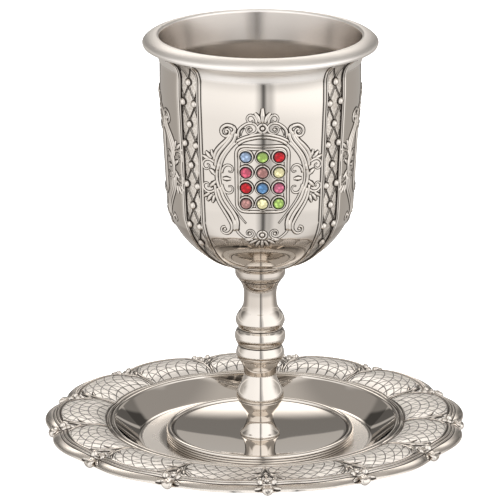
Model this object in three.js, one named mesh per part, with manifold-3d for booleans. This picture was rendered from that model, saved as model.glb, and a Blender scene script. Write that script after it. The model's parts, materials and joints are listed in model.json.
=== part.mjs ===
// A kiddush cup standing on its petal-edged saucer, in millimetres, +Z up.
// The origin is the centre of the saucer's flat underside.
// Pieces: the saucer, the cup's foot, its turned stem, its chased bowl, and twelve small set stones.
import * as THREE from "three";
import { mergeVertices } from "three/addons/utils/BufferGeometryUtils.js";
import Module from "manifold-3d";

const wasm = await Module();
wasm.setup();

// Saucer: pressed sheet, a flat-bottomed well inside a ring of crowned petals
const PETALS = 13;
const PETAL_TURN = THREE.MathUtils.degToRad(-86.8); // one joint between petals, nearly at the front
const SHEET = 1.25; // saucer thickness
const WELL_FLOOR_R = 39.5;
const WELL_RING_R = 49.2;
const WELL_RING_Z = 8;
const PETAL_CROWN_R = 59;
const PETAL_CROWN_Z = 9.7;
const PETAL_TIP_R = 71.5;
const PETAL_TIP_Z = 6.6; // lower edge of the petal's rim
const PETAL_BORDER = 3; // plain sloping band outside the engraved field
const PETAL_ARC_R = 29.4; // radius of each petal's round end
const PETAL_VALLEY = 1.3; // how deep the joint between petals lies below the crowns
const JOINT_KNOB_R = 1.7;

// Cup: stands a little to one side of the saucer's centre, as it was set down
const CUP_SHIFT = 1.6;

// Foot: a shallow dish inside a rolled and ridged edge
const FOOT_R = 32.2;
const FOOT_EDGE_Z = 4.9;
const FOOT_DISH_Z = 2.75; // flat middle, where the stem stands
const FOOT_DISH_R = 17;
const FOOT_RIM_R = 29.4;
const FOOT_RIM_Z = 4.3;

// Stem: one turned piece, heights of its rings and hollows
const STEM_TOP_Z = 61.75;

// Bowl
const BOWL_BOTTOM_Z = 62;
const BOWL_BOTTOM_R = 7.9;
const SHOULDER_R = 31.6; // where the round underside turns into the wall
const SHOULDER_Z = 85;
const WALL_TOP_R = 33.9;
const WALL_TOP_Z = 127;
const FLARE_Z = 134; // the wall stands straight up to here, then flares
const LIP_R = 39.4;
const LIP_Z = 140.2; // lower outer edge of the lip
const MOUTH_Z = 144.5;
const WALL = 1.5;

// Four chased strips divide the bowl into four panels
const PANELS = 4;
const STRIP_HALF = THREE.MathUtils.degToRad(8.7);
const STRIP_BORDER = THREE.MathUtils.degToRad(1.5);
const BORDER_RISE = 0.5;
const GROUND_SINK = 0.35; // how far the strip's ground lies below its borders' feet
const BEAD_PITCH = 14.3;
const BEAD_TOP_Z = 133;
const BEAD_SIDE = THREE.MathUtils.degToRad(4.6); // side beads' angle from the middle of the strip
const BEAD_R = 1.5;
const BEAD_HEIGHT = 1;

// The scrolled shield on each panel, measured from the middle of its tablet
const SHIELD_Z = 102.1;
const TABLET_W = 18.4;
const TABLET_H = 23.8;
const TABLET_CORNER = 1.6;
const TABLET_BAND = 1.2;
const RELIEF = 0.8; // how far the ornament stands out from the panel

// Stones: three across, four down, on the front tablet
const STONE_COLUMNS = 3;
const STONE_ROWS = 4;
const STONE_STEP_X = 5.5;
const STONE_STEP_Z = 5.4;
const STONE_R = 2;
const STONE_COLORS = [
  0x96afcd, 0xa5c35f, 0xbe0014, 0xcd556e, 0xa57370, 0xebe1aa,
  0xbe1428, 0x5a87b9, 0xc85f7d, 0xaf7d78, 0xe1dc96, 0xa5c85a,
];

const FRONT = THREE.MathUtils.degToRad(-88.9); // the cup stands turned a touch to its right
const SILVER = { color: 0xc8beb4, roughness: 0.22, metalness: 1 };

// Reading a profile: points in order from r and z pairs, with curves rounded into steps

function profile(draw, steps) {
  const path = new THREE.Path();
  draw(path);
  return path.getPoints(steps);
}

// A turned body whose columns stand at the given angles; carve may move each point by its angle.
function turned(points, angles, carve = (r, z) => [r, z]) {
  const body = new THREE.LatheGeometry(points, angles.length);
  const position = body.getAttribute("position");
  for (let column = 0; column <= angles.length; column++)
    points.forEach((point, row) => {
      const angle = angles[column % angles.length];
      const [r, z] = carve(point.x, point.y, angle);
      const x = r * Math.cos(angle);
      const y = r * Math.sin(angle);
      position.setXYZ(column * points.length + row, x, y, z);
    });
  return body;
}

const evenAngles = (count, first = 0) =>
  Array.from({ length: count }, (_, i) => first + (i * 2 * Math.PI) / count);

// Joining closed bodies

function solidOf(geometry) {
  const plain = geometry.clone();
  plain.deleteAttribute("normal");
  plain.deleteAttribute("uv");
  const merged = mergeVertices(plain, 1e-4);
  return new wasm.Manifold(
    new wasm.Mesh({
      numProp: 3,
      vertProperties: new Float32Array(merged.getAttribute("position").array),
      triVerts: new Uint32Array(merged.index.array),
    }),
  );
}

function geometryOf(solid) {
  const mesh = solid.getMesh();
  const geometry = new THREE.BufferGeometry();
  geometry.setAttribute("position", new THREE.BufferAttribute(mesh.vertProperties, 3));
  geometry.setIndex(new THREE.BufferAttribute(mesh.triVerts, 1));
  geometry.computeVertexNormals();
  return geometry;
}

const joined = (geometries) =>
  geometries.map(solidOf).reduce((whole, piece) => whole.add(piece));

// Saucer

// Angle from the middle of the nearest petal, from -PI/PETALS to PI/PETALS.
function petalAngle(angle) {
  const step = (2 * Math.PI) / PETALS;
  const turn = (angle - PETAL_TURN) / step;
  return (turn - Math.floor(turn) - 0.5) * step;
}

// The round end of a petal: an arc whose centre lies on the petal's middle line.
function petalReach(angle) {
  const off = petalAngle(angle);
  const centre = PETAL_TIP_R - PETAL_ARC_R;
  return centre * Math.cos(off) + Math.sqrt(PETAL_ARC_R ** 2 - (centre * Math.sin(off)) ** 2);
}

function pressPetals(r, z, angle) {
  if (r <= WELL_RING_R) return [r, z];
  const share = (r - WELL_RING_R) / (PETAL_TIP_R - WELL_RING_R);
  const reach = petalReach(angle);
  const side = Math.abs(petalAngle(angle)) / (Math.PI / PETALS);
  const dip = PETAL_VALLEY * side ** 4 * Math.sin(Math.PI * Math.min(share, 0.5));
  return [WELL_RING_R + share * (reach - WELL_RING_R), z - dip];
}

function saucerGeometry() {
  const bandInnerR = PETAL_TIP_R - PETAL_BORDER;
  const section = [
    [0, SHEET], [WELL_FLOOR_R, SHEET],
    [WELL_RING_R - 0.9, WELL_RING_Z - 0.4], [WELL_RING_R, WELL_RING_Z],
    [WELL_RING_R + 1, WELL_RING_Z - 0.4],
    [WELL_RING_R + 4, PETAL_CROWN_Z - 0.7], [PETAL_CROWN_R, PETAL_CROWN_Z],
    [bandInnerR - 3.5, PETAL_CROWN_Z - 0.3], [bandInnerR, PETAL_CROWN_Z - 1.1],
    [PETAL_TIP_R, PETAL_TIP_Z + 0.5], [PETAL_TIP_R - 0.3, PETAL_TIP_Z],
    [bandInnerR - 0.4, PETAL_CROWN_Z - 2.4], [PETAL_CROWN_R, PETAL_CROWN_Z - SHEET],
    [WELL_RING_R + 0.4, WELL_RING_Z - 1.6], [WELL_FLOOR_R + 0.3, 0], [0, 0],
  ];
  const points = section.map(([r, z]) => new THREE.Vector2(r, z)).reverse();
  const plate = turned(points, evenAngles(PETALS * 4, PETAL_TURN), pressPetals);
  const knobs = evenAngles(PETALS, PETAL_TURN).map((angle) => {
    const knob = new THREE.OctahedronGeometry(JOINT_KNOB_R, 0);
    const r = petalReach(angle) - 0.2;
    return knob.translate(r * Math.cos(angle), r * Math.sin(angle), PETAL_TIP_Z + 0.9);
  });
  return geometryOf(joined([plate, ...knobs]));
}

// Foot: dished top, rolled edge, ridged skirt, hollow below

function footGeometry() {
  const points = profile((path) => {
    path.moveTo(0, FOOT_DISH_Z - 1);
    path.lineTo(FOOT_DISH_R, FOOT_DISH_Z - 1);
    path.quadraticCurveTo(FOOT_RIM_R - 3, FOOT_DISH_Z - 0.9, FOOT_RIM_R - 0.6, FOOT_RIM_Z - 1.3);
    path.lineTo(FOOT_R - 1.6, SHEET);
    path.lineTo(FOOT_R - 0.2, SHEET);
    for (let ridge = 0; ridge < 2; ridge++) {
      path.lineTo(FOOT_R, SHEET + 0.6 + ridge * 1.2);
      path.lineTo(FOOT_R - 0.4, SHEET + 1.2 + ridge * 1.2);
    }
    path.lineTo(FOOT_R, FOOT_EDGE_Z - 0.7);
    path.quadraticCurveTo(FOOT_R - 0.1, FOOT_EDGE_Z, FOOT_R - 0.9, FOOT_EDGE_Z);
    path.lineTo(FOOT_RIM_R + 1, FOOT_RIM_Z + 0.2);
    path.lineTo(FOOT_RIM_R + 0.6, FOOT_RIM_Z - 0.1);
    path.lineTo(FOOT_RIM_R, FOOT_RIM_Z);
    path.quadraticCurveTo(FOOT_RIM_R - 3, FOOT_DISH_Z + 0.1, FOOT_DISH_R, FOOT_DISH_Z);
    path.lineTo(0, FOOT_DISH_Z);
  }, 2);
  return turned(points, evenAngles(24));
}

// Stem: from the flared base up through bulb, waist, two knops and collar

function stemGeometry() {
  const points = profile((path) => {
    path.moveTo(0, FOOT_DISH_Z);
    path.lineTo(7, FOOT_DISH_Z);
    path.lineTo(6.9, FOOT_DISH_Z + 0.5);
    path.quadraticCurveTo(4.5, 5, 4.45, 6.8);
    path.bezierCurveTo(4.6, 9, 7, 11.5, 7.8, 14.9);
    path.lineTo(8.1, 15.1);
    path.bezierCurveTo(8.5, 17.5, 5.4, 20.5, 5.5, 24);
    path.quadraticCurveTo(5.7, 27.3, 7.4, 29.3);
    path.quadraticCurveTo(8.9, 31.2, 7.5, 34.2);
    path.bezierCurveTo(9.2, 35.6, 9.2, 39, 7.5, 40.5);
    path.bezierCurveTo(9.4, 42.5, 8.6, 45.5, 6.3, 47.4);
    path.bezierCurveTo(5.3, 49.5, 5.3, 54, 6.2, 55.6);
    path.bezierCurveTo(7.2, 57, 8.2, 59, 8.2, STEM_TOP_Z);
    path.lineTo(0, STEM_TOP_Z);
  }, 3);
  return turned(points, evenAngles(16));
}

// Bowl

const outerWall = profile((path) => {
  path.moveTo(BOWL_BOTTOM_R, BOWL_BOTTOM_Z);
  path.bezierCurveTo(21, 64.6, 29.6, 76, SHOULDER_R, SHOULDER_Z);
  path.lineTo(WALL_TOP_R, WALL_TOP_Z);
  path.lineTo(WALL_TOP_R, FLARE_Z);
  path.quadraticCurveTo(34.6, 138.7, LIP_R, LIP_Z);
}, 4);

// Outer radius of the plain bowl at height z, and the outward slope of its surface there.
function wallAt(z) {
  const upper = outerWall.findIndex((point) => point.y >= z);
  const b = outerWall[Math.max(upper, 1)];
  const a = outerWall[Math.max(upper, 1) - 1];
  const share = (z - a.y) / (b.y - a.y);
  const run = new THREE.Vector2().subVectors(b, a).normalize();
  return { r: a.x + share * (b.x - a.x), out: new THREE.Vector2(run.y, -run.x) };
}

// A place on the bowl: angle round it, height, and how far out from its surface.
function onBowl(angle, z, out) {
  const wall = wallAt(z);
  const r = wall.r + out * wall.out.x;
  return new THREE.Vector3(r * Math.cos(angle), r * Math.sin(angle), z + out * wall.out.y);
}

// Wraps a flat ornament (x across, y up, z out) onto the panel that faces the given angle.
function wrapped(geometry, facing) {
  const position = geometry.getAttribute("position");
  for (let i = 0; i < position.count; i++) {
    const z = SHIELD_Z + position.getY(i);
    const angle = facing + position.getX(i) / WALL_TOP_R;
    position.setXYZ(i, ...onBowl(angle, z, position.getZ(i)));
  }
  return geometry;
}

const stripMiddles = evenAngles(PANELS, FRONT + Math.PI / PANELS);
const panelMiddles = evenAngles(PANELS, FRONT);

const nearest = (angle, middles) =>
  Math.min(...middles.map((middle) => {
    const off = (angle - middle) / (2 * Math.PI);
    return Math.abs(off - Math.round(off)) * 2 * Math.PI;
  }));

// Columns: four across each panel, and both edges of each strip's borders.
const bowlAngles = panelMiddles.flatMap((middle) => {
  const edge = Math.PI / PANELS;
  const panel = [-0.6, -0.2, 0.2, 0.6].map((share) => share * (edge - STRIP_HALF));
  const border = [STRIP_HALF, STRIP_HALF - STRIP_BORDER * 0.35, STRIP_HALF - STRIP_BORDER];
  const before = border.map((off) => off - edge).reverse();
  const after = border.map((off) => edge - off);
  return [...before, ...panel, ...after].map((off) => middle + off);
});

function chaseStrips(r, z, angle) {
  const off = nearest(angle, stripMiddles);
  const outside = r >= wallAt(Math.min(z, LIP_Z)).r - 1e-6;
  const fades = THREE.MathUtils.smoothstep(z, BOWL_BOTTOM_Z, BOWL_BOTTOM_Z + 5);
  if (!outside || z > LIP_Z || off > STRIP_HALF - 1e-6) return [r, z];
  const onBorder = off > STRIP_HALF - STRIP_BORDER * 0.9;
  const rise = onBorder ? BORDER_RISE : -GROUND_SINK;
  return [r + rise * fades, z];
}

function bowlBody() {
  const inside = profile((path) => {
    path.moveTo(37.3, MOUTH_Z);
    path.lineTo(35.7, MOUTH_Z - 0.2);
    path.lineTo(34.6, 141.8);
    path.lineTo(WALL_TOP_R - WALL, 136);
    path.lineTo(SHOULDER_R - WALL, SHOULDER_Z + 1);
    path.bezierCurveTo(28.2, 77, 21, 67, BOWL_BOTTOM_R, BOWL_BOTTOM_Z + 2);
    path.lineTo(0, BOWL_BOTTOM_Z + 2);
  }, 3);
  const lip = profile((path) => {
    path.moveTo(LIP_R, LIP_Z);
    path.quadraticCurveTo(39.7, 143.6, 37.3, MOUTH_Z);
  }, 2);
  const points = [
    new THREE.Vector2(0, BOWL_BOTTOM_Z), ...outerWall, ...lip.slice(1), ...inside.slice(1),
  ];
  return turned(points, bowlAngles, chaseStrips);
}

// Beads of a strip: one row down its middle, and one each side halfway between.
function stripBeads(middle) {
  const beads = [];
  for (let half = 0; half < 9; half++) {
    const z = BEAD_TOP_Z - (half * BEAD_PITCH) / 2;
    const offs = half % 2 ? [-BEAD_SIDE, BEAD_SIDE] : [0];
    offs.forEach((off) => {
      const bead = new THREE.ConeGeometry(BEAD_R, BEAD_HEIGHT + 0.6, 5);
      const wall = wallAt(z);
      bead.rotateZ(-Math.PI / 2 + Math.atan2(wall.out.y, wall.out.x));
      bead.translate(wall.r - GROUND_SINK + (BEAD_HEIGHT - 0.6) / 2, 0, 0);
      bead.rotateX(Math.PI / 2);
      bead.rotateZ(middle + off);
      beads.push(bead.translate(0, 0, z));
    });
  }
  return beads;
}

// A raised leaf that follows a curve on the panel, narrower on top than at its foot.
function bar(line, width, facing, steps, rise = RELIEF) {
  const box = new THREE.BoxGeometry(1, 1, 1, 1, 1, steps);
  const position = box.getAttribute("position");
  for (let i = 0; i < position.count; i++) {
    const along = THREE.MathUtils.clamp(position.getZ(i) + 0.5, 0, 1);
    const top = position.getY(i) > 0;
    const across = position.getX(i) * width * (top ? 0.5 : 1);
    const place = line.getPointAt(along);
    const run = line.getTangentAt(along);
    position.setXYZ(i, place.x - run.y * across, place.y + run.x * across, top ? rise : -1);
  }
  return wrapped(box, facing);
}

function button(x, y, radius, facing, rise = RELIEF) {
  const disc = new THREE.CylinderGeometry(radius * 0.6, radius, rise + 1, 6);
  return wrapped(disc.rotateX(Math.PI / 2).translate(x, y, (rise - 1) / 2), facing);
}

const curve = (...points) =>
  new THREE.SplineCurve(points.map(([x, y]) => new THREE.Vector2(x, y)));

// The tablet's raised frame, a band between two round-cornered rectangles.
function tabletFrame(facing) {
  const outline = (grow, Kind) => {
    const w = TABLET_W / 2 + grow;
    const h = TABLET_H / 2 + grow;
    const c = TABLET_CORNER + grow;
    const across = w - c;
    const upper = [[w, h - c], [across, h], [across / 3, h], [-across / 3, h], [-across, h], [-w, h - c]];
    const half = upper.map(([x, y]) => new THREE.Vector2(x, y));
    return new Kind([...half, ...half.map((point) => point.clone().negate())]);
  };
  const band = outline(0, THREE.Shape);
  band.holes.push(outline(-TABLET_BAND, THREE.Path));
  const frame = new THREE.ExtrudeGeometry(band, { depth: RELIEF + 1, bevelEnabled: false });
  return wrapped(frame.translate(0, 0, -1), facing);
}

// The shield's outline, a band that swells into volutes at its four corners and curls at top and bottom.
function shieldBand(facing) {
  const mirrored = (half, steps, Kind) => {
    const right = curve(...half).getPoints(steps);
    const left = right.slice(1, -1).map(({ x, y }) => new THREE.Vector2(-x, y)).reverse();
    return new Kind([...right, ...left].reverse());
  };
  const outer = [
    [0, 20.4], [4.6, 19.4], [8.6, 16.4], [12.6, 18.5], [14.6, 15.6], [13.9, 11], [16.6, 4], [15.9, -1],
    [16.6, -7], [14.6, -13], [15, -18.4], [11.6, -19.7], [8.4, -18.2], [4.6, -21.4], [0, -20.8],
  ];
  const inner = [[0, 15], [5, 13.9], [10, 11.2], [11.3, 6], [13, 1.6], [12.6, -2.6], [13, -7.5], [10, -13.4],
    [5, -15], [0, -14.2]];
  const band = mirrored(outer, 14, THREE.Shape);
  band.holes.push(mirrored(inner, 8, THREE.Path));
  const shield = new THREE.ExtrudeGeometry(band, { depth: RELIEF + 1, bevelEnabled: false });
  return wrapped(shield.translate(0, 0, -1), facing);
}

// What stands round the shield: a palmette above, a bud below, and a long leaf on each side.
function leaves(facing) {
  const leaf = (points, width, steps) => bar(curve(...points), width, facing, steps);
  return [
    button(0, 17.8, 2, facing, RELIEF + 0.5),
    leaf([[0, 19.8], [0, 25]], 2.8, 1),
    leaf([[-1.5, 19.8], [-4.4, 23], [-7.6, 19.6]], 2, 2),
    leaf([[7.6, 19.6], [4.4, 23], [1.5, 19.8]], 2, 2),
    leaf([[0, -20], [0, -25]], 3.2, 1),
    leaf([[17.6, 9], [19, 3.4], [17.6, -1.4], [18.6, -9.5]], 1.8, 3),
    leaf([[-17.6, 9], [-19, 3.4], [-17.6, -1.4], [-18.6, -9.5]], 1.8, 3),
  ];
}

// Where the stones stand on the front tablet.
function stonePlaces() {
  const places = [];
  for (let row = 0; row < STONE_ROWS; row++)
    for (let column = 0; column < STONE_COLUMNS; column++) {
      const across = (column - (STONE_COLUMNS - 1) / 2) * STONE_STEP_X;
      const z = SHIELD_Z + ((STONE_ROWS - 1) / 2 - row) * STONE_STEP_Z;
      places.push({ name: `stone_${row + 1}_${column + 1}`, angle: FRONT + across / WALL_TOP_R, z });
    }
  return places;
}

// Moves a geometry that stands on +Z so that it stands on the bowl at a stone's place.
function set(geometry, { angle, z }) {
  const base = onBowl(angle, z, 0);
  return geometry.rotateY(Math.PI / 2).rotateZ(angle).translate(...base);
}

// A stone: flat back, short girdle, faceted crown with a small table.
function stoneGeometry(place) {
  const points = [[0, 0.3], [STONE_R, 0.3], [STONE_R, 0.8], [STONE_R * 0.55, 1.5], [0, 1.5]];
  const stone = turned(points.map(([r, z]) => new THREE.Vector2(r, z)), evenAngles(8));
  return set(stone, place);
}

function bowlGeometry() {
  const beads = stripMiddles.flatMap(stripBeads);
  const shields = panelMiddles.flatMap((facing) => [
    tabletFrame(facing), shieldBand(facing), ...leaves(facing),
  ]);
  return geometryOf(joined([bowlBody(), ...beads, ...shields]));
}

// The parts put together

function piece(name, geometry, finish = SILVER) {
  const mesh = new THREE.Mesh(geometry, new THREE.MeshStandardMaterial(finish));
  mesh.name = name;
  return mesh;
}

const cup = new THREE.Group();
cup.position.x = CUP_SHIFT;
cup.add(
  piece("foot", footGeometry()),
  piece("stem", stemGeometry()),
  piece("bowl", bowlGeometry()),
);
stonePlaces().forEach((place, i) => {
  const finish = { color: STONE_COLORS[i], roughness: 0.08, metalness: 0 };
  cup.add(piece(place.name, stoneGeometry(place), finish));
});

const group = new THREE.Group();
group.add(piece("saucer", saucerGeometry()), cup);

export default group;
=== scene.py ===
"""A kiddush cup standing on its petal-edged saucer.

The cup's bowl is chased with four strips and four scrolled shields; the front shield's tablet holds
twelve set stones. Sizes are in millimetres until a piece is finished; the scene is in metres.
"""

import json
import math

import bmesh
import bpy
import numpy as np
from mathutils import Matrix


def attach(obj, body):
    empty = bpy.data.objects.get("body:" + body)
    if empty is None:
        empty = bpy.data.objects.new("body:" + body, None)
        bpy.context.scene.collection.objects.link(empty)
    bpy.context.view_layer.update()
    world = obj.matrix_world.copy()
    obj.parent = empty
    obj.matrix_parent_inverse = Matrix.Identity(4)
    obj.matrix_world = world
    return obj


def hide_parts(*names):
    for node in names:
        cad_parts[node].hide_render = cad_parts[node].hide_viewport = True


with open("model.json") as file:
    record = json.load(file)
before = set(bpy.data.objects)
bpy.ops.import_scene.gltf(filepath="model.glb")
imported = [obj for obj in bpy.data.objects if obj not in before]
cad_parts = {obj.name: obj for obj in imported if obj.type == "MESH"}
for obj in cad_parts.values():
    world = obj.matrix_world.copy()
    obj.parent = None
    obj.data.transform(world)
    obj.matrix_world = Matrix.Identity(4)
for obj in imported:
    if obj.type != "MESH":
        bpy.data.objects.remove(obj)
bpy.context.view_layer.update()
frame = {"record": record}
slot_of = {part["node"]: part["material_slot"] for part in frame["record"]["subparts"]}

MM = 0.001
CUP_SHIFT = 1.6  # the cup stands this far to the right of the saucer's middle
FRONT = math.radians(-88.9)  # the way the tablet with the stones faces

# Marks. The value "dark" on a point says how its silver is finished: 0 is polished, 1 oxidised
SATIN = -1.0
INNER = -2.0  # satin too, inside the bowl
GROUND = 2.0  # finely stippled

# Bowl, as (radius, height)
BOWL_BOTTOM = (7.9, 63.4)
SHOULDER = (31.6, 85.0)
WALL_TOP = (33.9, 127.0)
FLARE = (33.9, 134.0)
LIP = (39.4, 140.2)
BOWL_STEPS = 264
SHIELD_Z = 102.1
FLAT_RADIUS = 33.0  # a millimetre across the flat drawing is one part of this radius round the bowl

# Strips
STRIP_OFF = math.radians(46.0)
STRIP_HALF = math.radians(8.5)
STRIP_MIDDLES = (STRIP_OFF, -STRIP_OFF, math.pi - STRIP_OFF, math.pi + STRIP_OFF)
STRIP_SINK = 0.3
STRIP_BOTTOM = 2.0  # both ends are measured along the bowl's outside
STRIP_TOP_GAP = 0.6

# Stem and foot
STEM_STEPS = 128
FOOT_STEPS = 180
FOOT_MIDDLE_Z = 2.25

# Saucer
PETALS = 13
PETAL_STEPS = 26
PETAL_TURN = math.radians(-86.8)
PETAL_ARC_R = 29.4
PETAL_VALLEY = 1.3
WELL_FLOOR_Z = 1.25
WELL_RING_R = 49.2
PROFILE_TIP_R = 71.5  # where the turned profile ends, before its petals are drawn out
PETAL_TIP_R = 72.6
FIELD = (51.4, 66.3)  # the engraved part of a petal, from the well's ring to the border


# Lines and profiles


def through(points, steps=4):
    """A smooth line through the points, each with the same count of numbers."""
    p = np.array(points, float)
    p = np.vstack([2 * p[0] - p[1], p, 2 * p[-1] - p[-2]])
    line = []
    for a, b, c, d in zip(p, p[1:], p[2:], p[3:]):
        for t in np.arange(steps) / steps:
            line.append(0.5 * (2 * b + (c - a) * t + (2 * a - 5 * b + 4 * c - d) * t * t
                               + (3 * b - a - 3 * c + d) * t ** 3))
    line.append(p[-2])
    return [tuple(q) for q in line]


def bent(a, b, c, d, steps):
    """A curve from a to d, pulled towards b and c."""
    t = np.linspace(0, 1, steps + 1)[:, None]
    a, b, c, d = map(np.array, (a, b, c, d))
    line = a * (1 - t) ** 3 + 3 * b * t * (1 - t) ** 2 + 3 * c * t * t * (1 - t) + d * t ** 3
    return [tuple(q) for q in line]


def chain(*lines):
    """The lines joined end to end, with doubled points left out."""
    joined = []
    for line in lines:
        for point in line:
            if not joined or math.dist(joined[-1][:2], point[:2]) > 1e-4:
                joined.append(tuple(point))
    return joined


def circle(x, y, radius, count=8):
    turns = [2 * math.pi * i / count for i in range(count)]
    return [(x + radius * math.cos(turn), y + radius * math.sin(turn)) for turn in turns]


def rounded(half_w, half_h, corner, longest=3.2):
    """A round-cornered rectangle, as a closed stroke's points."""
    points = []
    for quarter, (sx, sy) in enumerate([(1, 1), (-1, 1), (-1, -1), (1, -1)]):
        for turn in (0, 22.5, 45, 67.5, 90):
            a = math.radians(turn + 90 * quarter)
            points.append((sx * (half_w - corner) + corner * math.cos(a),
                           sy * (half_h - corner) + corner * math.sin(a)))
    dense = []
    for a, b in zip(points, points[1:] + points[:1]):
        dense.append(a)
        extra = int(math.dist(a, b) // longest)
        for i in range(1, extra + 1):
            t = i / (extra + 1)
            dense.append((a[0] + (b[0] - a[0]) * t, a[1] + (b[1] - a[1]) * t))
    return dense


# Pieces


def turned(profile, steps, shape=None, close=False):
    """Spins a profile of (r, z) or (r, z, dark) points round the axis; shape moves the points after."""
    bm = bmesh.new()
    dark = bm.verts.layers.float.new("dark")
    row = []
    for point in profile:
        vert = bm.verts.new((point[0], 0, point[1]))
        vert[dark] = point[2] if len(point) > 2 else 0.0
        row.append(vert)
    edges = [bm.edges.new(pair) for pair in zip(row, row[1:])]
    if close:
        edges.append(bm.edges.new((row[-1], row[0])))
    bmesh.ops.spin(
        bm, geom=row + edges, cent=(0, 0, 0), axis=(0, 0, 1), angle=2 * math.pi,
        steps=steps, use_merge=True,
    )
    bmesh.ops.remove_doubles(bm, verts=bm.verts, dist=1e-5)
    bmesh.ops.recalc_face_normals(bm, faces=bm.faces)
    if shape:
        places, values = shape(places_of(bm), np.array([v[dark] for v in bm.verts]))
        move_points(bm, places)
        for vert, value in zip(bm.verts, values):
            vert[dark] = value
    return bm


def places_of(bm):
    return np.array([v.co for v in bm.verts])


def move_points(bm, places):
    for vert, place in zip(bm.verts, places):
        vert.co = place


def shifted(bm, x, y=0):
    bmesh.ops.translate(bm, verts=bm.verts, vec=(x, y, 0))


def merged(target, source):
    """Moves a bmesh's contents into another one."""
    held = bpy.data.meshes.new("held")
    source.to_mesh(held)
    source.free()
    target.from_mesh(held)
    bpy.data.meshes.remove(held)


def finished(name, bm, node, material):
    """Makes the piece from a bmesh in millimetres and puts it in the place of its node."""
    mesh = bpy.data.meshes.new(name)
    bm.to_mesh(mesh)
    bm.free()
    mesh.transform(Matrix.Scale(MM, 4))
    mesh.shade_smooth()
    piece = bpy.data.objects.new(name, mesh)
    bpy.context.scene.collection.objects.link(piece)
    mesh.materials.append(material)
    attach(piece, "root")
    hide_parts(node)
    return piece


# Raised lines: drawn flat (across, up), swept with one section, then laid on the metal

SECTION = [(-1.05, -0.3), (-1.05, 0.05), (-0.68, 0.06), (-0.42, 0.45), (0, 0.58), (0.42, 0.45),
           (0.68, 0.06), (1.05, 0.05), (1.05, -0.3)]
OXIDE_TOP = 0.24  # a ridge is oxidised below this height, fading in over the next value
OXIDE_FADE = 0.14
GROOVE_FLATNESS = 0.2
BEAD_SKIRT = 0.32  # the dark line round a bead's foot


def curve_object(name):
    data = bpy.data.curves.new(name, "CURVE")
    data.dimensions = "2D"
    drawn = bpy.data.objects.new(name, data)
    bpy.context.scene.collection.objects.link(drawn)
    return drawn, data


def section_curve():
    section, data = curve_object("ridge section")
    spline = data.splines.new("POLY")
    spline.points.add(len(SECTION) - 1)
    for point, (x, y) in zip(spline.points, SECTION):
        point.co = (x, y, 0, 1)
    spline.use_cyclic_u = True
    return section


def fullness(form, along):
    """A stroke's share of its width at a place along it, from 0 to 1."""
    if form == "leaf":
        return 0.45 + 0.6 * math.sin(math.pi * min(1, 0.1 + along * 0.85))
    if form == "tail":
        return 1.0 - 0.45 * along
    return 1.0


def swept(strokes, steps=3, groove=False):
    """Flat bmesh of raised lines, or of dark ones that hardly rise.

    A stroke is (points, half width, form), and the form is plain, leaf, tail or ring.
    """
    section = section_curve()
    drawn, data = curve_object("strokes")
    data.bevel_mode = "OBJECT"
    data.bevel_object = section
    data.use_fill_caps = True
    data.resolution_u = steps
    for points, width, form in strokes:
        spline = data.splines.new("BEZIER")
        spline.bezier_points.add(len(points) - 1)
        spline.use_cyclic_u = form == "ring"
        for i, (knot, (x, y)) in enumerate(zip(spline.bezier_points, points)):
            knot.co = (x, y, 0)
            knot.handle_left_type = knot.handle_right_type = "AUTO"
            knot.radius = width * fullness(form, i / (len(points) - 1))
    graph = bpy.context.evaluated_depsgraph_get()
    flat = bpy.data.meshes.new_from_object(drawn.evaluated_get(graph))
    bm = bmesh.new()
    bm.from_mesh(flat)
    dark = bm.verts.layers.float.new("dark")
    bmesh.ops.remove_doubles(bm, verts=bm.verts, dist=1e-4)
    bmesh.ops.recalc_face_normals(bm, faces=bm.faces)
    for vert in bm.verts:
        if groove:
            vert[dark] = 1.0
            vert.co.z *= GROOVE_FLATNESS
        else:
            vert[dark] = min(1.0, max(0.0, (OXIDE_TOP - vert.co.z) / OXIDE_FADE))
    for used in (drawn, section):
        curve = used.data
        bpy.data.objects.remove(used)
        bpy.data.curves.remove(curve)
    bpy.data.meshes.remove(flat)
    return bm


def dome(bm, x, y, radius, height):
    """Adds a round bead that stands on the flat drawing, with a dark line round its foot."""
    dark = bm.verts.layers.float["dark"]
    made = bmesh.ops.create_uvsphere(bm, u_segments=12, v_segments=8, radius=1)["verts"]
    for vert in made:
        foot = vert.co.z < -0.1
        spread = 1 + BEAD_SKIRT / radius if foot else 1.0
        vert[dark] = 1.0 if vert.co.z < 0.1 else 0.0
        lift = 0.03 if -0.5 < vert.co.z < -0.1 else vert.co.z * height
        vert.co = (x + vert.co.x * radius * spread, y + vert.co.y * radius * spread, lift)


def knob(bm, x, y, z, radius, height):
    """Adds a whole round knob."""
    made = bmesh.ops.create_uvsphere(bm, u_segments=16, v_segments=10, radius=1)["verts"]
    for vert in made:
        vert.co = (x + vert.co.x * radius, y + vert.co.y * radius, z + vert.co.z * height)


def mirrored(strokes):
    return strokes + [([(-x, y) for x, y in points], width, form) for points, width, form in strokes]


# The bowl's outside as one smooth line, and places on it

wall = np.linspace(SHOULDER, WALL_TOP, 9)
outside = np.array(chain(
    bent(BOWL_BOTTOM, (21, 65.3), (29.6, 76), SHOULDER, 34),
    wall,
    [WALL_TOP, (33.9, 130.5), FLARE],
    bent(FLARE, (34.3, 137.0), (36.1, 139.4), LIP, 12),
))
outside_length = np.concatenate([[0], np.cumsum(np.hypot(*np.diff(outside, axis=0).T))])
outside_run = np.gradient(outside, outside_length, axis=0)


def up_to(z):
    """Distance along the outside, from its bottom, of height z."""
    return float(np.interp(z, outside[:, 1], outside_length))


def radius_at(along):
    return np.interp(along, outside_length, outside[:, 0])


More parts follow.
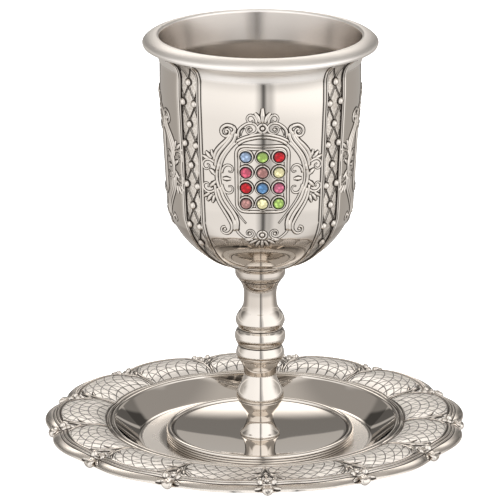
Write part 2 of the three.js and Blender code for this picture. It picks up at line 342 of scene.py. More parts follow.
def on_bowl(angle, along, out):
    """Points on the bowl from arrays of angle, distance along its outside, and height off it."""
    z = np.interp(along, outside_length, outside[:, 1])
    run_r = np.interp(along, outside_length, outside_run[:, 0])
    run_z = np.interp(along, outside_length, outside_run[:, 1])
    size = np.hypot(run_r, run_z)
    r = radius_at(along) + out * run_z / size
    z = z - out * run_r / size
    return np.stack([r * np.cos(angle), r * np.sin(angle), z], axis=-1)


def laid_on_panel(bm, facing):
    """A copy of a flat drawing laid on the panel that faces an angle."""
    laid = bm.copy()
    across, up, out = places_of(laid).T
    move_points(laid, on_bowl(facing + across / FLAT_RADIUS, up_to(SHIELD_Z) + up, out))
    return laid


def laid_on_strip(bm, middle):
    """A copy of a flat drawing (across, along the outside) laid on a strip."""
    laid = bm.copy()
    across, along, out = places_of(laid).T
    move_points(laid, on_bowl(middle + across / radius_at(along), along, out))
    return laid


# Ornament of a panel: right half, mirrored. (across, up) from the middle of the tablet

RIDGE = 0.84
FINE = 0.66

SHIELD = [
    ([(10.3, 15.0), (9.1, 17.2), (10.8, 18.3), (12.7, 17.9), (13.8, 16.2), (13.1, 14.7), (11.6, 14.6),
      (10.8, 16.0), (11.6, 17.0), (12.4, 16.3)], RIDGE, "tail"),
    ([(10.5, 15.2), (12.0, 13.1), (14.3, 10.8), (16.0, 8.5), (16.7, 5.7)], RIDGE, "plain"),
    ([(9.7, 16.3), (10.4, 14.1), (12.5, 11.3), (14.7, 8.5), (15.9, 5.7), (16.3, 3.6)], RIDGE, "plain"),
    ([(8.7, 15.7), (9.4, 13.3), (11.3, 10.8), (13.5, 7.8), (14.9, 4.8), (15.5, 2.3)], RIDGE, "plain"),
    ([(14.9, 4.6), (15.6, 2.0), (15.8, -0.5), (15.4, -2.5), (14.5, -4.5)], RIDGE, "plain"),
    ([(16.5, -3.0), (16.4, -5.5), (15.4, -8.5), (13.6, -11.4), (11.7, -14.4), (10.7, -16.8), (11.4, -19.0),
      (13.2, -19.9), (14.6, -19.1), (14.3, -17.6), (13.1, -17.1)], RIDGE, "tail"),
    ([(15.7, -4.0), (14.8, -7.0), (13.0, -10.0), (10.9, -12.9), (9.8, -15.6), (9.8, -18.4)],
     RIDGE, "plain"),
    ([(14.7, -3.5), (13.5, -6.9), (11.6, -9.8), (9.7, -12.5), (8.7, -14.9), (8.8, -18.2)], RIDGE, "plain"),
    ([(9.0, 12.5), (11.5, 9.5), (13.2, 6.8), (14.2, 3.9), (14.7, 0.7), (14.4, -2.4), (13.1, -5.4),
      (11.4, -8.4), (9.1, -11.4), (7.3, -13.6), (5.6, -15.6)], FINE, "tail"),
]
ARCH = [
    ([(8.6, 12.9), (6.7, 14.0), (4.0, 15.0), (0.0, 15.6), (-4.0, 15.0), (-6.7, 14.0), (-8.6, 12.9)],
     FINE, "plain"),
    ([(8.2, 11.9), (6.4, 13.1), (3.7, 14.0), (0.0, 14.5), (-3.7, 14.0), (-6.4, 13.1), (-8.2, 11.9)],
     FINE, "plain"),
]
SCROLLS = [
    ([(8.0, 14.5), (7.8, 16.6), (6.3, 18.4), (4.3, 19.4), (2.5, 19.0), (1.7, 17.5), (2.5, 16.1),
      (4.2, 15.8), (5.2, 16.9), (4.6, 18.0), (3.6, 17.8)], 0.62, "tail"),
    ([(7.1, 14.9), (6.8, 16.5), (5.8, 17.7)], 0.4, "leaf"),
    ([(9.3, -14.6), (9.0, -18.1), (7.4, -20.3), (5.5, -21.4), (3.6, -20.9), (2.8, -19.3), (3.7, -18.0),
      (5.0, -18.2), (5.4, -19.4), (4.5, -20.1)], 0.62, "tail"),
]
PALMETTES = [
    ([(1.9, 19.4), (2.4, 21.2), (3.5, 22.2), (4.7, 21.7), (4.9, 20.3), (3.9, 19.6), (3.1, 20.4)],
     0.6, "tail"),
    ([(0.8, 19.6), (1.5, 21.4), (2.5, 23.0)], 1.0, "leaf"),
    ([(0.9, -22.2), (1.7, -23.5), (2.4, -24.8)], 0.95, "leaf"),
    ([(2.1, -21.9), (3.4, -22.7), (4.8, -23.6)], 0.95, "leaf"),
    ([(3.4, -21.6), (4.8, -21.9), (6.2, -22.0)], 0.85, "leaf"),
]
PALMETTE_MIDDLES = [
    ([(0, 19.6), (0, 22.2), (0, 24.6)], 1.05, "leaf"),
    ([(0, -22.0), (0, -23.8), (0, -25.6)], 0.95, "leaf"),
]
FLOURISH = [
    ([(16.6, 5.0), (18.6, 5.7), (20.4, 5.1), (21.2, 3.6), (20.5, 2.3), (19.0, 2.5), (18.6, 3.6),
      (19.5, 4.0)], 0.62, "tail"),
    ([(17.6, 6.3), (18.8, 7.3), (19.9, 8.4)], 1.0, "leaf"),
    ([(16.7, 6.6), (17.2, 7.9), (17.7, 9.2)], 0.95, "leaf"),
    ([(18.7, 5.9), (20.0, 6.3), (21.3, 6.7)], 0.85, "leaf"),
    ([(18.4, 2.3), (17.2, 1.5), (16.1, 0.4)], 1.0, "leaf"),
    ([(18.6, -3.8), (17.3, -2.7), (16.1, -1.5)], 1.0, "leaf"),
    ([(16.6, -4.8), (18.7, -5.7), (20.5, -5.3), (21.3, -4.0), (20.3, -2.7), (19.0, -3.1), (19.4, -4.1)],
     0.62, "tail"),
    ([(17.8, -6.4), (18.9, -7.7), (19.8, -9.0)], 1.0, "leaf"),
    ([(18.8, -6.1), (20.1, -6.9), (21.3, -7.7)], 0.82, "leaf"),
    ([(16.9, -6.6), (17.3, -8.0), (17.8, -9.4)], 0.9, "leaf"),
    ([(14.0, 1.6), (13.1, 3.7), (11.5, 4.5), (10.1, 3.7), (10.4, 2.2), (11.6, 2.3)], 0.58, "tail"),
    ([(13.6, -0.4), (12.2, -0.3), (10.7, -0.3)], 0.95, "leaf"),
    ([(14.0, -2.5), (13.1, -4.6), (11.6, -5.3), (10.2, -4.4), (10.5, -2.9), (11.7, -3.0)], 0.58, "tail"),
    ([(21.5, 13.5), (21.6, 3.2), (21.6, -11.0)], 0.42, "leaf"),
]


TABLET = [
    (rounded(8.75, 11.4, 2.8), 0.66, "ring"),
    (rounded(7.75, 10.4, 1.9), 0.6, "ring"),
]
BOSSES = [
    (circle(0, 17.6, 1.4), 0.55, "ring"),
    (circle(0, -19.9, 1.5), 0.6, "ring"),
]
PANEL_BEAD_HEIGHT = 0.5
PANEL_MIDDLE_BEADS = [(17.6, 0.7), (-19.9, 0.8)]
PANEL_SIDE_BEADS = [(3.9, 17.2, 0.5), (4.4, -19.3, 0.5), (12.0, 16.0, 0.55), (13.3, -18.1, 0.5)]


def panel_drawing():
    strokes = mirrored(SHIELD + SCROLLS + PALMETTES + FLOURISH)
    drawing = swept(strokes + ARCH + PALMETTE_MIDDLES + TABLET + BOSSES)
    for y, radius in PANEL_MIDDLE_BEADS:
        dome(drawing, 0, y, radius, PANEL_BEAD_HEIGHT)
    for x, y, radius in PANEL_SIDE_BEADS:
        dome(drawing, x, y, radius, PANEL_BEAD_HEIGHT)
        dome(drawing, -x, y, radius, PANEL_BEAD_HEIGHT)
    return drawing


# A strip: two wavy lines each side cross at the side beads; borders run along both edges

BEAD_HEIGHTS = [133.0, 118.6, 104.4, 90.3, 76.6]
SIDE_BEAD_HEIGHTS = [138.4, 125.9, 111.6, 97.4, 83.2, 70.5]
SIDE_BEAD = math.radians(4.35)
MIDDLE_BEAD_R = 1.25
SIDE_BEAD_R = 1.2
WAVE_EDGE = STRIP_HALF - math.radians(1.3)
WAVE_WIDTH = 0.19
BORDERS = [(STRIP_HALF, 0.66), (STRIP_HALF - math.radians(1.7), 0.42)]  # angle off the middle, width


def strip_drawing():
    middles = [up_to(z) for z in BEAD_HEIGHTS]
    sides = [up_to(z) for z in SIDE_BEAD_HEIGHTS]
    bends = sorted([(s, False) for s in [STRIP_BOTTOM + 1.2, *middles]] + [(s, True) for s in sides])
    run = np.linspace(STRIP_BOTTOM, outside_length[-1] - STRIP_TOP_GAP, 21)
    waves = []
    borders = []
    for hand in (-1, 1):
        for reach in (0.0, WAVE_EDGE):
            line = [(hand * (SIDE_BEAD if side else reach) * radius_at(s), s) for s, side in bends]
            waves.append((line, WAVE_WIDTH, "plain"))
        for off, width in BORDERS:
            borders.append(([(hand * off * radius_at(s), s) for s in run], width, "plain"))
    drawing = swept(borders)
    merged(drawing, swept(waves, 4, groove=True))
    for s in middles:
        dome(drawing, 0, s, MIDDLE_BEAD_R, 1.0)
    for s in sides[1:-1]:
        for hand in (-1, 1):
            dome(drawing, hand * SIDE_BEAD * radius_at(s), s, SIDE_BEAD_R, 1.0)
    return drawing


# Stones: four rows of three, each in a bezel

STONE_STEP = (5.45, 5.4)
STONE_DROP = 0.25  # the stones stand this far below the middle of the tablet
STONE_R = 2.0
# The third numbers paint shade on a stone: dark at its foot and girdle, less up the crown, none on the
# table
STONE_PROFILE = [(0, 0.15, 1), (STONE_R, 0.15, 1), (STONE_R, 0.65, 1), (1.55, 1.15, 0.35), (0.95, 1.4),
                 (0, 1.4)]
BEZEL_PROFILE = [(2.0, -0.3), (2.0, 0.6, 1), (2.1, 0.8, 0.6), (2.25, 0.92), (2.45, 0.72), (2.55, 0.1, 1),
                 (2.75, 0.06, 1), (2.75, -0.3)]


def stone_places():
    """The node, across and up of every stone."""
    for row in range(4):
        for column in range(3):
            up = (1.5 - row) * STONE_STEP[1] - STONE_DROP
            yield f"stone_{row + 1}_{column + 1}", (column - 1) * STONE_STEP[0], up


def make_stone(node, x, y, material):
    bm = turned(STONE_PROFILE, 12)
    shifted(bm, x, y)
    laid = laid_on_panel(bm, FRONT)
    bm.free()
    shifted(laid, CUP_SHIFT)
    piece = finished("cut_" + node, laid, node, material)
    piece.data.shade_flat()


# Bowl, stem and foot


def sunk_strips(co, dark):
    """Sinks the strips' ground a little and marks it."""
    angle = np.arctan2(co[:, 1], co[:, 0]) - FRONT
    r = np.hypot(co[:, 0], co[:, 1])
    z = co[:, 2]
    outer = r >= np.interp(z, outside[:, 1], outside[:, 0]) - 0.5
    turn = 2 * math.pi
    near = np.min([np.abs((angle - middle + math.pi) % turn - math.pi) for middle in STRIP_MIDDLES], axis=0)
    on = (near < STRIP_HALF) & outer & (z < LIP[1] - 0.4) & (z > BOWL_BOTTOM[1] + 0.1)
    scale = 1 - np.where(on, STRIP_SINK, 0.0) / np.maximum(r, 1)
    co[:, 0] *= scale
    co[:, 1] *= scale
    return co, np.where(on, GROUND, dark)


def bowl_profile():
    inside = chain(
        bent((34.2, 143.2), (33.9, 141.6), (33.2, 137.5), (32.2, 132.6), 10),
        [(32.1, 127.0), (30.1, 86.0)],
        bent((30.1, 86.0), (28.2, 77.0), (20.4, 67.2), (8.0, 65.2), 16),
        [(0, 65.2)],
    )
    lip = through([(39.4, 140.2), (39.65, 141.1), (39.1, 142.0), (37.9, 142.9), (36.3, 143.6),
                   (34.9, 143.8), (34.2, 143.2)], 4)
    return chain(
        [(0, BOWL_BOTTOM[1])],
        [(r, z, SATIN * min(1, max(0, (z - FLARE[1]) / 2))) for r, z in outside],
        [(r, z, SATIN) for r, z in lip],
        [(r, z, INNER) for r, z in inside],
    )


def make_bowl(material):
    bm = turned(bowl_profile(), BOWL_STEPS, sunk_strips)
    panel = panel_drawing()
    for turn in range(4):
        merged(bm, laid_on_panel(panel, FRONT + turn * math.pi / 2))
    panel.free()
    strip = strip_drawing()
    for middle in STRIP_MIDDLES:
        merged(bm, laid_on_strip(strip, FRONT + middle))
    strip.free()
    for _, x, y in stone_places():
        bezel = turned(BEZEL_PROFILE, 24, close=True)
        shifted(bezel, x, y)
        merged(bm, laid_on_panel(bezel, FRONT))
        bezel.free()
    shifted(bm, CUP_SHIFT)
    finished("chased_bowl", bm, "bowl", material)


def make_stem(material):
    parts = [
        [(0, FOOT_MIDDLE_Z), (6.8, FOOT_MIDDLE_Z, 1)],
        through([(6.9, 2.4), (6.75, 2.9), (6.1, 3.7), (5.4, 4.9), (4.8, 6.5), (4.55, 8.2), (4.9, 9.7),
                 (5.9, 11.2), (7.0, 12.8), (7.9, 14.8)], 5),
        [(7.9, 14.8, 1), (7.7, 15.0, 1), (8.1, 15.25)],
        through([(8.1, 15.25), (8.15, 16.2), (7.9, 17.8), (7.2, 19.4), (6.2, 21.4), (5.55, 23.6),
                 (5.6, 25.2), (5.9, 26.8), (6.4, 28.0), (7.15, 29.2)], 5),
        [(7.1, 29.3, 0.7)],
        through([(7.2, 29.4), (7.9, 30.1), (8.25, 31.2), (8.2, 32.4), (7.5, 34.2)], 5),
        [(7.35, 34.3, 1), (7.35, 34.55, 1)],
        through([(7.5, 34.65), (8.2, 35.6), (8.7, 37.5), (8.4, 39.3), (7.6, 40.3)], 5),
        [(7.4, 40.4, 1), (7.4, 40.65, 1)],
        through([(7.6, 40.8), (7.9, 41.7), (8.45, 43.0), (8.2, 44.5), (7.5, 45.9), (6.5, 47.3)], 5),
        through([(6.5, 47.3), (5.85, 48.9), (5.6, 52.0), (5.75, 54.4), (6.4, 56.4), (7.3, 57.8)], 5),
        [(7.3, 57.9, 1), (7.35, 58.1, 1)],
        through([(7.6, 58.2), (8.35, 59.3), (8.6, 60.6), (8.3, 61.8), (7.6, 62.5)], 5),
        [(7.1, 62.55, 1), (7.1, 62.75, 1), (7.5, 62.85), (7.6, 63.05), (7.5, 63.25), (7.2, 63.35, 1),
         (0, 63.35)],
    ]
    bm = turned(chain(*parts), STEM_STEPS)
    shifted(bm, CUP_SHIFT)
    finished("turned_stem", bm, "stem", material)


def make_foot(material):
    profile = chain(
        [(0, FOOT_MIDDLE_Z), (6.0, FOOT_MIDDLE_Z)],
        through([(6.0, FOOT_MIDDLE_Z), (11.0, 2.35), (16.0, 2.62), (21.0, 3.06), (25.5, 3.6),
                 (29.6, 4.22)], 5),
        [(29.7, 4.2, 1), (30.0, 3.9, 1), (30.25, 4.0, 1)],
        through([(30.3, 4.1), (30.7, 4.7), (31.3, 4.9), (31.9, 4.65), (32.2, 4.1)], 4),
        [(32.2, 4.1), (31.9, 3.75, 1), (32.15, 3.45), (32.2, 3.2), (31.9, 2.9, 1), (32.15, 2.6),
         (32.2, 2.35), (31.9, 2.05, 1), (32.15, 1.75), (32.2, 1.5), (32.0, WELL_FLOOR_Z, 1),
         (30.6, WELL_FLOOR_Z)],
        [(30.4, 1.3), (28.8, 3.0)],
        through([(28.8, 3.0), (25.0, 2.5), (21.0, 2.0), (17.0, 1.6), (11.0, 1.35)], 4),
        [(0, 1.3)],
    )
    bm = turned(profile, FOOT_STEPS)
    shifted(bm, CUP_SHIFT)
    finished("dished_foot", bm, "foot", material)


# Saucer


def petal_off(angle):
    """The angle from the middle of the nearest petal."""
    step = 2 * math.pi / PETALS
    turn = (angle - PETAL_TURN) / step
    return (turn - np.floor(turn) - 0.5) * step


def petal_reach(angle):
    """How far the petals' round edge stands from the saucer's middle."""
    off = petal_off(angle)
    centre = PETAL_TIP_R - PETAL_ARC_R
    return centre * np.cos(off) + np.sqrt(PETAL_ARC_R ** 2 - (centre * np.sin(off)) ** 2)


def petal_side(angle):
    """0 at the middle of a petal and 1 where two petals meet."""
    return np.abs(petal_off(angle)) / (math.pi / PETALS)


def pressed(co):
    """Presses the petals into round points on the saucer."""
    angle = np.arctan2(co[:, 1], co[:, 0])
    r = np.hypot(co[:, 0], co[:, 1])
    outer = r > WELL_RING_R
    share = np.maximum(r - WELL_RING_R, 0) / (PROFILE_TIP_R - WELL_RING_R)
    dip = PETAL_VALLEY * petal_side(angle) ** 4 * np.sin(math.pi * np.minimum(share, 0.5))
    new_r = np.where(outer, WELL_RING_R + share * (petal_reach(angle) - WELL_RING_R), r)
    scale = new_r / np.maximum(r, 1e-6)
    return np.stack([co[:, 0] * scale, co[:, 1] * scale, co[:, 2] - dip * outer], axis=-1)


FLOOR_MARK = 0.6 * SATIN
saucer_top = chain(
    [(0, WELL_FLOOR_Z), (20, WELL_FLOOR_Z), (30.5, WELL_FLOOR_Z), (33.5, WELL_FLOOR_Z, FLOOR_MARK),
     (38.7, WELL_FLOOR_Z, FLOOR_MARK), (39.0, WELL_FLOOR_Z, 0.5 * SATIN)],
    through([(39.0, WELL_FLOOR_Z), (39.9, 1.45), (41.0, 2.15)], 4),
    [(41.0, 2.15), (48.0, 7.2)],
    through([(48.0, 7.2), (48.5, 7.85), (49.0, 8.0), (49.4, 7.8)], 3),
    [(49.4, 7.8), (49.65, 7.4, 1), (49.9, 7.5, 1)],
    through([(49.9, 7.6), (50.3, 8.0), (50.8, 7.95), (51.1, 7.7)], 3),
    [(51.1, 7.6, 1), (51.35, 7.7, 1)],
    through([(51.4, 7.8), (54.0, 8.95), (57.0, 9.6), (60.0, 9.7), (63.0, 9.5), (66.3, 8.95)], 5),
    [(66.4, 8.85, 1), (66.7, 8.8, 1)],
    through([(66.8, 8.9), (67.2, 9.15), (67.6, 8.85)], 3),
    [(67.65, 8.7, 1), (67.85, 8.6, 1)],
    through([(67.9, 8.7), (68.3, 8.8), (68.65, 8.45)], 3),
    [(68.7, 8.35, 1), (68.9, 8.2, 1)],
    through([(69.0, 8.2), (70.0, 7.85), (71.0, 7.3), (71.4, 6.9)], 3),
)
saucer_under = chain(
    through([(71.4, 6.9), (PROFILE_TIP_R, 6.6), (71.2, 6.5), (69.0, 7.1), (64.0, 8.2), (59.0, 8.45),
             (54.0, 7.7), (50.0, 6.6)], 4),
    [(50.0, 6.6), (48.5, 5.9), (41.0, 0.8)],
    through([(41.0, 0.8), (40.3, 0.3), (39.5, 0.0)], 3),
    [(20, 0), (0, 0)],
)

# Ornament where two petals meet: right half, mirrored. (across, distance from the saucer's middle)

JOINT = [
    ([(0.4, 51.6), (0.45, 55.0), (0.75, 58.4), (1.7, 61.4), (3.4, 64.0), (6.0, 66.0)], 0.55, "plain"),
    ([(0.6, 61.4), (1.9, 63.0), (3.4, 65.4)], 0.85, "leaf"),
    ([(1.0, 59.4), (2.8, 60.7), (4.6, 61.4)], 0.6, "leaf"),
    ([(0.9, 69.2), (2.6, 70.4), (4.4, 70.9)], 0.95, "leaf"),
]
JOINT_MIDDLE = [([(0, 60.4), (0, 62.4), (0, 64.2)], 0.85, "leaf")]
JOINT_BEADS = [(-2.3, 67.7), (2.3, 67.7), (0, 66.4)]
JOINT_BEAD_R = 1.15
JOINT_BEAD_HEIGHT = 1.3


def joint_drawing():
    drawing = swept(mirrored(JOINT) + JOINT_MIDDLE)
    for x, r in JOINT_BEADS:
        dome(drawing, x, r, JOINT_BEAD_R, JOINT_BEAD_HEIGHT)
    knob(drawing, 0, 71.9, 0.6, 2.0, 1.5)
    return drawing


def laid_on_joint(bm, joint):
    """A copy of a flat drawing laid on the saucer where two petals meet."""
    top = np.array([point[:2] for point in saucer_top])
    laid = bm.copy()
    across, r, out = places_of(laid).T
    angle = joint + across / r
    z = np.interp(r, top[:, 0], top[:, 1]) + out
    move_points(laid, pressed(np.stack([r * np.cos(angle), r * np.sin(angle), z], axis=-1)))
    return laid


def make_saucer(material):
    bm = turned(chain(saucer_top, saucer_under), PETALS * PETAL_STEPS)
    bmesh.ops.rotate(bm, verts=bm.verts, cent=(0, 0, 0), matrix=Matrix.Rotation(PETAL_TURN, 3, "Z"))
    flat = places_of(bm)
    x, y, z = flat.T
    r = np.hypot(x, y)
    under = np.array([point[:2] for point in reversed(saucer_under)])
    on_top = z > np.interp(r, under[:, 0], under[:, 1]) + 0.5
    outward = np.where(on_top, (r - FIELD[0]) / (FIELD[1] - FIELD[0]), -1.0)
    across = petal_side(np.arctan2(y, x))
    for name, values in (("outward", outward), ("across", across)):
        layer = bm.verts.layers.float.new(name)
        for vert, value in zip(bm.verts, values):
            vert[layer] = value
    move_points(bm, pressed(flat))
    drawing = joint_drawing()
    for petal in range(PETALS):
        merged(bm, laid_on_joint(drawing, PETAL_TURN + petal * 2 * math.pi / PETALS))
    drawing.free()
    finished("petalled_saucer", bm, "saucer", material)


# Materials: one output socket with arithmetic


class Signal:
    """A socket in a material. Arithmetic on it adds Math nodes; node() adds any other node."""

    def __init__(self, tree, socket=None):
        self.tree = tree
        self.socket = socket

    def node(self, kind, settings=(), values=(), output=0):
        made = self.tree.nodes.new(kind)
        for name, value in dict(settings).items():
            setattr(made, name, value)
        for name, value in dict(values).items():
            if isinstance(value, Signal):
                self.tree.links.new(value.socket, made.inputs[name])
            else:
                made.inputs[name].default_value = value
        return Signal(self.tree, made.outputs[output]) if len(made.outputs) else None

    def attribute(self, name):
        return self.node("ShaderNodeAttribute", {"attribute_name": name}, output=2)

    def math(self, operation, *others):
        """A Math node with this socket as its first value."""
        return self.node("ShaderNodeMath", {"operation": operation}, dict(enumerate((self, *others))))

    def __add__(self, other):
        return self.math("ADD", other)

    __radd__ = __add__

    def __sub__(self, other):
        return self.math("SUBTRACT", other)

    def __rsub__(self, other):
        return self.node("ShaderNodeMath", {"operation": "SUBTRACT"}, {0: other, 1: self})

    def __mul__(self, other):
        return self.math("MULTIPLY", other)

    __rmul__ = __mul__

    def __truediv__(self, other):
        return self.math("DIVIDE", other)

    def __rtruediv__(self, other):
        return self.node("ShaderNodeMath", {"operation": "DIVIDE"}, {0: other, 1: self})

    def __abs__(self):
        return self.math("ABSOLUTE")

    def step(self, low, high):
        """0 below low and 1 above high, smooth between."""
        ends = {0: self, 1: low, 2: high, 3: 0.0, 4: 1.0}
        return self.node("ShaderNodeMapRange", {"interpolation_type": "SMOOTHSTEP"}, ends)

    def band(self, rise, fall):
        """1 between a rise and a fall, each given as its two ends."""
        return self.step(*rise) * (1 - self.step(*fall))

    def mix(self, low, high):
        """A colour between two, by this signal."""
        return self.node("ShaderNodeMix", {"data_type": "RGBA"}, {0: self, 6: low, 7: high}, 2)


def new_material(name):
    material = bpy.data.materials.new(name)
    material.use_nodes = True
    tree = material.node_tree
    tree.nodes.clear()
    return material, Signal(tree)


# The engraved net. Across a petal runs from 0 to 1 at its sides, outward from 0 to 1 at the border

NET_STEP = 2 / 7
NET_SWEEP = 0.7
NET_LINE = (0.018, 0.072)
ARC_STEP = 0.2
ARC_BEND = 0.3
ARC_LINE = (0.03, 0.095)
ARC_STRENGTH = 0.75


def engraved_net(s):
    """The net's lines (two families that cross towards the tip, and arcs), its field, and the border."""
    across = s.attribute("across")
    outward = s.attribute("outward")
    sweep = outward.math("POWER", 2.0) * NET_SWEEP
    left, right = (ray.math("PINGPONG", 0.5) for ray in ((across + sweep) / NET_STEP,
                                                         (across - sweep) / NET_STEP))
    arc = ((outward + across * across * ARC_BEND) / ARC_STEP).math("PINGPONG", 0.5)
    rays = 1 - left.math("MINIMUM", right).step(*NET_LINE)
    lines = rays.math("MAXIMUM", (1 - arc.step(*ARC_LINE)) * ARC_STRENGTH)
    field = outward.band((0.005, 0.03), (0.97, 0.995))
    return lines * field, field, outward.step(1.0, 1.02)


# Colours of the silver, oxide for its lines, and heights in metres of painted shade: bands on the stem's
# neck and under the bowl, and where the bowl's inside is painted darker

POLISHED = ((0.74, 0.69, 0.635, 1), (0.80, 0.75, 0.695, 1))
STIPPLED = ((0.95, 0.905, 0.85, 1), (0.70, 0.645, 0.585, 1))
BRUSHED = (0.96, 0.925, 0.885, 1)
# painted shade: the darker colour of the bowl's inside
INSIDE_SHADE = (0.57, 0.53, 0.495, 1)
# the colour of painted shade on the polish
SHADED_SILVER = (0.26, 0.205, 0.16, 1)
OXIDE = (0.03, 0.021, 0.015, 1)
# Painted shade: between these heights the polish is coloured darker, on the stem's neck and under the bowl
NECK_SHADE = ((0.046, 0.050), (0.0615, 0.0630))
UNDER_BOWL_SHADE = ((0.0745, 0.0768), (0.0798, 0.0812))
# painted shade: above these heights the bowl's inside takes its darker colour fully
INSIDE_SHADE_HEIGHTS = (0.128, 0.138)
NET_STRENGTH = 0.88


def silver_finish(name):
    material, s = new_material(name)
    mark = s.attribute("dark")
    place = s.node("ShaderNodeTexCoord", output=3)
    height = s.node("ShaderNodeSeparateXYZ", {}, {"Vector": place}, 2)
    net, petal, border = engraved_net(s)
    ground = mark.step(1.2, 1.9)
    satin = (0 - mark).step(0.05, 0.95)
    inside = (0 - mark).step(1.05, 1.95)
    line = (mark.step(0.05, 0.95) * (1 - ground)).math("MAXIMUM", net * NET_STRENGTH)

    grain = s.node("ShaderNodeTexNoise", {}, {"Vector": place, "Scale": 1800.0, "Detail": 2.0})
    stipple = s.node("ShaderNodeTexVoronoi", {}, {"Vector": place, "Scale": 1500.0})
    smear = s.node("ShaderNodeTexNoise", {}, {"Vector": place, "Scale": 60.0, "Detail": 4.0})
    cloud = s.node("ShaderNodeTexNoise", {}, {"Vector": place, "Scale": 14.0})

    # painted shade inside the bowl: colour mixed towards the darker inside colour, fully above 128 to 138
    # mm and by 0.3 lower down
    inside_shade = inside * (0.3 + height.step(*INSIDE_SHADE_HEIGHTS) * 0.7)
    # painted shade: darker silver in bands on the stem's neck and under the bowl, where the polish mirrors
    # dark things
    painted_shade = height.band(*NECK_SHADE) * 0.38 + height.band(*UNDER_BOWL_SHADE) * 0.45
    color = cloud.mix(*POLISHED)
    color = (painted_shade * (1 - satin)).mix(color, SHADED_SILVER)
    color = ground.mix(color, stipple.step(0.1, 0.7).mix(*STIPPLED))
    color = (satin - inside_shade).math("MAXIMUM", petal).mix(color, BRUSHED)
    color = inside_shade.mix(color, INSIDE_SHADE)
    color = (line * 0.96).mix(color, OXIDE)

    rough = 0.02 + smear * 0.03 + ground * 0.3 + line * 0.3 + satin * 0.36
    rough = rough - inside_shade.step(0.03, 0.2) * 0.2 + petal * 0.36 + border * 0.22
    relief = (grain * 0.5 + stipple) * ground - net * 2
    bump = s.node("ShaderNodeBump", {}, {"Strength": 0.35, "Distance": 0.00008, "Height": relief})
    shader = s.node("ShaderNodeBsdfPrincipled", {}, {
        "Base Color": color, "Roughness": rough, "Metallic": 1.0, "Normal": bump})
    s.node("ShaderNodeOutputMaterial", {}, {"Surface": shader})
    return material


STONE_COLORS = {
    "glass_pale_blue": (0.36, 0.48, 0.68),
    "glass_green": (0.42, 0.62, 0.15),
    "glass_red": (0.56, 0.001, 0.01),
    "glass_rose": (0.64, 0.10, 0.17),
    "glass_brown_pink": (0.48, 0.24, 0.22),
    "glass_pale_yellow": (0.95, 0.88, 0.50),
    "glass_blue": (0.13, 0.30, 0.56),
    "glass_mauve_pink": (0.62, 0.15, 0.25),
}


def darker(color, share):
    return (*(c * share for c in color), 1)


def stone_finish(name, color):
    material, s = new_material(name)
    place = s.node("ShaderNodeTexCoord", output=3)
    rim_shade = s.attribute("dark")
    # painted light and shade on the stones: facets mottled lighter and darker, and a dark rim
    facet_light = s.node("ShaderNodeTexVoronoi", {}, {"Vector": place, "Scale": 900.0})
    body = facet_light.step(0.2, 0.6).mix((*color, 1), darker(color, 0.5))
    body = rim_shade.step(0.15, 0.8).mix(body, darker(color, 0.05))
    shader = s.node("ShaderNodeBsdfPrincipled", {}, {
        "Base Color": body, "Roughness": 0.12, "Metallic": 0.0, "IOR": 1.45})
    s.node("ShaderNodeOutputMaterial", {}, {"Surface": shader})
    return material


# Studio. The silver mirrors its light by direction: x to the right, y away from the camera, z up

WARM = (1, 0.955, 0.905, 1)
WHITE = (1, 0.99, 0.98, 1)


def front_light(x, y, z):
    """The side of the camera: two soft boxes with a dark slit between, dimmer low down."""
    turn = x / ((x * x + y * y).math("SQRT") + 0.0001)
    slit = 1 - abs(turn - 0.06).step(0.0, 0.085)
    screen = 1 - abs(turn - 0.1).step(0.09, 0.24)
    low = 1 - z.step(-0.42, -0.26)
    boxes = (1.3 + x * 0.12) * (1 - 0.78 * slit) * (1 - 0.42 * screen)
    return boxes * (1 - 0.18 * low - 0.16 * low * x.step(0.0, 0.4))


def back_light(side, x, y, z):
    """The far side: a dim wall low down; above the horizon a table, dark flags and a bright patch."""
    wall = 0.46 - 0.36 * y.step(0.90, 0.97)
    table = 0.9 - 0.55 * z.step(0.02, 0.09) - 0.28 * z.step(0.29, 0.302)
    patch = (1.9 - 0.8 * x) * z.step(0.42, 0.57) * (1 - side.step(0.36, 0.50))
    flags = side.band((0.22, 0.25), (0.36, 0.375)) + side.band((0.395, 0.41), (0.52, 0.56))
    flags = flags * y.step(0.55, 0.7)
    upper = table * (1 - 0.8 * flags) + 0.15 - 0.1 * flags + patch
    above = z.step(-0.03, 0.03)
    return wall * (1 - above) + upper * above


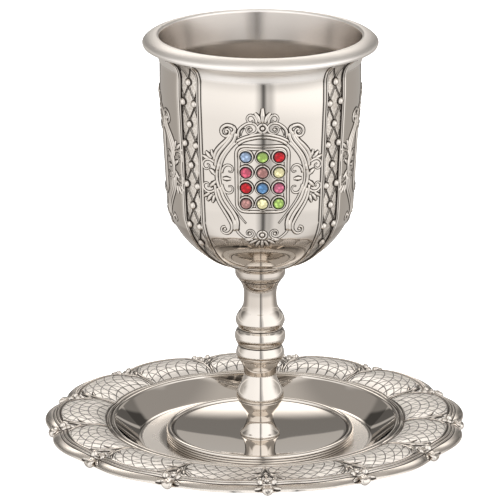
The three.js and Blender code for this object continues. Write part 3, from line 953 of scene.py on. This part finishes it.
def studio_light():
    world = bpy.data.worlds.new("studio")
    bpy.context.scene.world = world
    world.use_nodes = True
    tree = world.node_tree
    tree.nodes.clear()
    s = Signal(tree)
    way = s.node("ShaderNodeTexCoord", output=0)
    x, y, z = (s.node("ShaderNodeSeparateXYZ", {}, {"Vector": way}, i) for i in range(3))
    side = abs(x)
    far = y.step(-0.3, 0.5)
    level = front_light(x, y, z) * (1 - far) + back_light(side, x, y, z) * far
    ceiling_edge = z + 0.25 * side.step(0.40, 0.48) * y.step(0.2, 0.5)
    ceiling = ceiling_edge.step(0.68, 0.74) * y.step(-0.3, -0.1)
    level = level * (1 - ceiling) + ceiling * (0.56 - 0.2 * side.step(0.25, 0.5))
    tint = (1 - far.math("MAXIMUM", ceiling)).mix(WARM, WHITE)
    glow = s.node("ShaderNodeBackground", {}, {"Color": tint, "Strength": level})
    s.node("ShaderNodeOutputWorld", {}, {"Surface": glow})


def paper_floor():
    bm = bmesh.new()
    drop = Matrix.Translation((0, 0, -0.0003))
    bmesh.ops.create_grid(bm, x_segments=1, y_segments=1, size=3, matrix=drop)
    mesh = bpy.data.meshes.new("floor")
    bm.to_mesh(mesh)
    bm.free()
    floor = bpy.data.objects.new("floor", mesh)
    bpy.context.scene.collection.objects.link(floor)
    paper, s = new_material("white paper")
    shader = s.node("ShaderNodeBsdfPrincipled", {}, {
        "Base Color": (0.96, 0.96, 0.96, 1), "Roughness": 0.9, "Emission Color": (1, 1, 1, 1),
        "Emission Strength": 0.8})
    s.node("ShaderNodeOutputMaterial", {}, {"Surface": shader})
    mesh.materials.append(paper)
    floor.visible_glossy = False


def overhead_lamp():
    lamp = bpy.data.lights.new("overhead", "AREA")
    lamp.shape = "DISK"
    lamp.size = 1.6
    lamp.energy = 12
    overhead = bpy.data.objects.new("overhead", lamp)
    overhead.location = (0, 0.1, 1.5)
    overhead.visible_glossy = False
    bpy.context.scene.collection.objects.link(overhead)


def place_camera():
    """A long lens a little above the cup, looking down by the tilt."""
    tilt = math.radians(16.676)
    eye = bpy.data.cameras.new("camera")
    eye.lens = 294.3
    eye.sensor_width = 36
    camera = bpy.data.objects.new("camera", eye)
    camera.location = (-0.00188, -1.332, 0.467)
    camera.rotation_euler = (math.pi / 2 - tilt, 0, 0)
    bpy.context.scene.collection.objects.link(camera)
    bpy.context.scene.camera = camera


bpy.context.scene.view_settings.view_transform = "Standard"
studio_light()
paper_floor()
overhead_lamp()
place_camera()

silver = silver_finish("polished silver")
make_bowl(silver)
make_stem(silver)
make_foot(silver)
make_saucer(silver)
glass = {slot: stone_finish(slot, color) for slot, color in STONE_COLORS.items()}
for node, x, y in stone_places():
    make_stone(node, x, y, glass[slot_of[node]])
